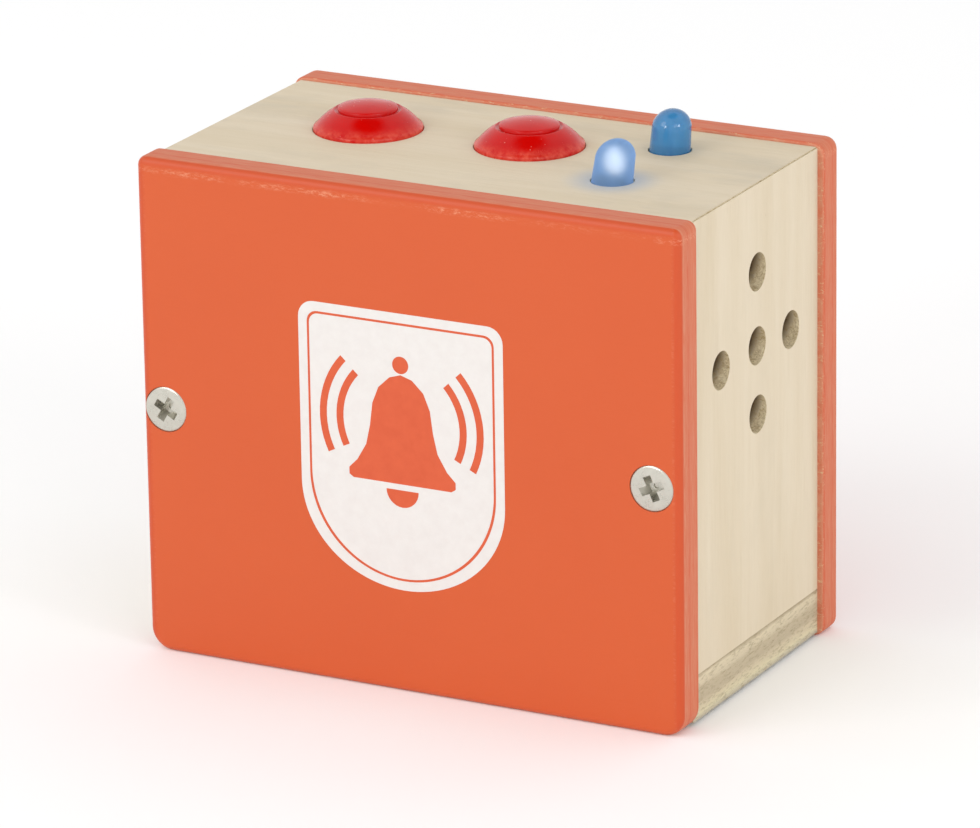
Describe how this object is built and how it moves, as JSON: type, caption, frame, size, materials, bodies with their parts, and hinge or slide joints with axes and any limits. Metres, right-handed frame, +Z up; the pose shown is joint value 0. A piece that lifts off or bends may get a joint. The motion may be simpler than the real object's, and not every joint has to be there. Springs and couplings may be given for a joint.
{
  "type": "toy fire alarm box",
  "caption": "Small wooden play alarm box with push buttons and lamps on top and a loudspeaker behind drilled holes in one side.",
  "frame": {"origin": "middle of the case's footprint, on the surface that the plates' bottom edges stand on", "axes": "+Z up; front plate faces -Y; +X to the right of a person facing the front plate, so the sound holes are on the +X side"},
  "size_m": [0.077, 0.0458, 0.0715],
  "materials": {
    "orange_paint_on_plywood": "satin opaque paint, edges worn paler",
    "bare_plywood": "sanded, unvarnished light plywood",
    "zinc_plated_steel": "bright zinc plating",
    "red_plastic": "moulded, semi-gloss",
    "blue_lamp_resin": "cast, tinted and translucent, glossy",
    "silicone_rubber": "moulded, matt, translucent white",
    "carbon_rubber": "moulded, matt black",
    "phenolic_board": "brown laminate with a dull face",
    "black_resin": "poured blob, satin",
    "nylon_white": "moulded, satin",
    "capacitor_sleeve": "shrunk sleeve over an aluminium can",
    "resistor_body": "lacquered, beige",
    "tinned_copper": "dull bright tin",
    "foam_tape": "closed cell foam, matt",
    "speaker_paper": "pressed paper pulp, matt",
    "speaker_steel": "zinc plated pressing",
    "magnet_nickel": "nickel plated",
    "copper_winding": "enamelled copper wire",
    "holder_black": "moulded, matt black",
    "battery_can": "printed metal can without markings",
    "spring_steel": "nickel plated",
    "red_insulation": "extruded PVC, satin",
    "black_insulation": "extruded PVC, satin"
  },
  "bodies": {
    "housing": {"front_plate": "orange_paint_on_plywood", "back_plate": "orange_paint_on_plywood", "front_plate_screws": "zinc_plated_steel", "back_plate_screws": "zinc_plated_steel", "top_panel": "bare_plywood", "bottom_panel": "bare_plywood", "left_side_panel": "bare_plywood", "right_side_panel": "bare_plywood", "switch_dome_left": "silicone_rubber", "switch_dome_right": "silicone_rubber", "lamp_lens_front": "blue_lamp_resin", "lamp_lens_rear": "blue_lamp_resin", "lamp_leads_front": "tinned_copper", "lamp_leads_rear": "tinned_copper", "lamp_standoffs": "nylon_white", "switch_board": "phenolic_board", "board_spacers": "nylon_white", "board_screws": "zinc_plated_steel", "sound_chip": "black_resin", "capacitor": "capacitor_sleeve", "resistors": "resistor_body", "drive_transistor": "black_resin", "speaker_gasket": "foam_tape", "speaker_surround": "silicone_rubber", "speaker_basket": "speaker_steel", "speaker_pole_plate": "speaker_steel", "speaker_magnet": "magnet_nickel", "speaker_yoke": "speaker_steel", "speaker_terminals": "phenolic_board", "speaker_screws": "zinc_plated_steel", "speaker_wires": "black_insulation", "battery_holder": "holder_black", "battery_holder_screws": "zinc_plated_steel", "battery_cell_upper": "battery_can", "battery_cell_middle": "battery_can", "battery_cell_lower": "battery_can", "battery_springs": "spring_steel", "battery_contacts": "spring_steel", "battery_wire_red": "red_insulation", "battery_wire_black": "black_insulation"},
    "button_left": {"button_cap_left": "red_plastic", "contact_pill_left": "carbon_rubber"},
    "button_right": {"button_cap_right": "red_plastic", "contact_pill_right": "carbon_rubber"},
    "speaker_diaphragm": {"speaker_cone": "speaker_paper", "voice_coil": "copper_winding"}
  },
  "joints": [
    {"name": "button_left_press", "type": "slide", "parent": "housing", "child": "button_left", "axis": [0, 0, -1], "range_m": [0, 0.0012], "stiffness_N_per_m": 900, "springref_m": -0.0006, "deforming": ["switch_dome_left"]},
    {"name": "button_right_press", "type": "slide", "parent": "housing", "child": "button_right", "axis": [0, 0, -1], "range_m": [0, 0.0012], "stiffness_N_per_m": 900, "springref_m": -0.0006, "deforming": ["switch_dome_right"]},
    {"name": "speaker_cone_travel", "type": "slide", "parent": "housing", "child": "speaker_diaphragm", "axis": [1, 0, 0], "range_m": [-0.00025, 0.00025], "stiffness_N_per_m": 400}
  ]
}
